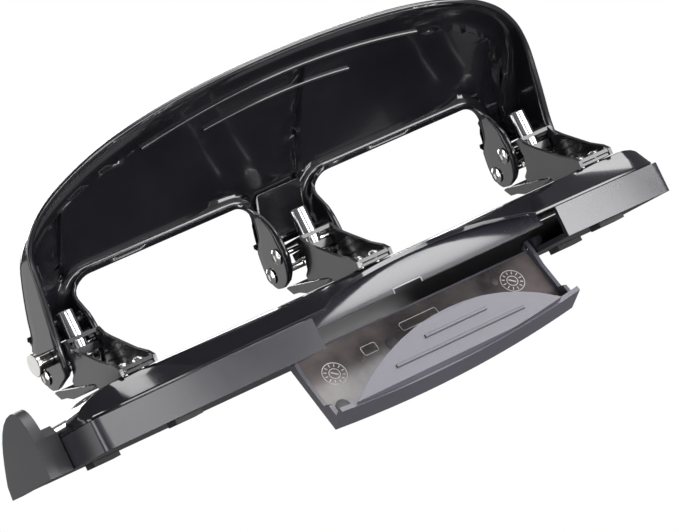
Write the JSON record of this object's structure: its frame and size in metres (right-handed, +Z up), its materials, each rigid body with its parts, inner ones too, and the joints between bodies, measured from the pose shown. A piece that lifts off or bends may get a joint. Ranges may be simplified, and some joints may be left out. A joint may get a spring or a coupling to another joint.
{
  "type": "hole punch",
  "caption": "Desk punch for ring-binder holes: lever handle with hand windows, punch heads on a bow-fronted base, paper stop, swing-down chip tray.",
  "frame": {"origin": "underside of the middle foot, straight below the middle punch, on the surface the punch stands on", "axes": "+X along the punch to the right as the user with the tray side in front sees it, +Y towards the paper side, +Z up"},
  "size_m": [0.2781, 0.0887, 0.1399],
  "materials": {
    "black_gloss": "polished black",
    "black_satin": "fine moulded grain",
    "grey_satin": "satin",
    "black_steel": "black enamel",
    "bright_steel": "polished",
    "spring_steel": "drawn wire",
    "rubber": "matt"
  },
  "bodies": {
    "base": {"base_housing": "grey_satin", "deck_shell": "black_gloss", "recess_panel": "grey_satin", "die_bar": "bright_steel", "paper_stop": "black_satin", "foot_front_left": "rubber", "foot_front_right": "rubber", "foot_back_left": "rubber", "foot_back_right": "rubber", "foot_middle": "rubber", "head_frame_left": "black_steel", "throat_guide_left": "black_steel", "die_ring_left": "bright_steel", "foot_rivet_left_a": "bright_steel", "foot_rivet_left_b": "bright_steel", "head_frame_middle": "black_steel", "throat_guide_middle": "black_steel", "die_ring_middle": "bright_steel", "foot_rivet_middle_a": "bright_steel", "foot_rivet_middle_b": "bright_steel", "head_frame_right": "black_steel", "throat_guide_right": "black_steel", "die_ring_right": "bright_steel", "foot_rivet_right_a": "bright_steel", "foot_rivet_right_b": "bright_steel", "pivot_pin_left": "bright_steel", "pivot_pin_middle": "bright_steel", "pivot_pin_right": "bright_steel", "pivot_spacer_left": "bright_steel", "pivot_spacer_right": "bright_steel"},
    "handle": {"handle_shell": "black_gloss", "middle_bracket": "black_steel", "drive_pin_left": "bright_steel", "drive_pin_middle": "bright_steel", "drive_pin_right": "bright_steel"},
    "punch_left": {"punch_pin_left": "bright_steel", "punch_saddle_left": "black_steel", "return_spring_left": "spring_steel"},
    "punch_middle": {"punch_pin_middle": "bright_steel", "punch_saddle_middle": "black_steel", "return_spring_middle": "spring_steel"},
    "punch_right": {"punch_pin_right": "bright_steel", "punch_saddle_right": "black_steel", "return_spring_right": "spring_steel"},
    "chip_tray_body": {"chip_tray": "grey_satin", "tray_panel": "grey_satin", "tray_pin_left": "bright_steel", "tray_pin_right": "bright_steel"}
  },
  "joints": [
    {"name": "handle_press", "type": "hinge", "parent": "base", "child": "handle", "pos_m": [0, 0.0167, 0.038], "axis": [1, 0, 0], "range_deg": [0, 35], "stiffness_Nm_per_rad": 0.6, "springref_deg": -28.65},
    {"name": "punch_left_slide", "type": "slide", "parent": "base", "child": "punch_left", "axis": [0, 0, -1], "range_m": [0, 0.0072], "deforming": ["return_spring_left"]},
    {"name": "punch_middle_slide", "type": "slide", "parent": "base", "child": "punch_middle", "axis": [0, 0, -1], "range_m": [0, 0.0072], "deforming": ["return_spring_middle"]},
    {"name": "punch_right_slide", "type": "slide", "parent": "base", "child": "punch_right", "axis": [0, 0, -1], "range_m": [0, 0.0072], "deforming": ["return_spring_right"]},
    {"name": "tray_hinge", "type": "hinge", "parent": "base", "child": "chip_tray_body", "pos_m": [0, -0.021, 0.005], "axis": [1, 0, 0], "range_deg": [-66, 0]}
  ],
  "couplings": [
    {"joint": "punch_left_slide", "follows": "handle_press", "m_per_rad": 0.011623},
    {"joint": "punch_middle_slide", "follows": "handle_press", "m_per_rad": 0.011623},
    {"joint": "punch_right_slide", "follows": "handle_press", "m_per_rad": 0.011623}
  ]
}
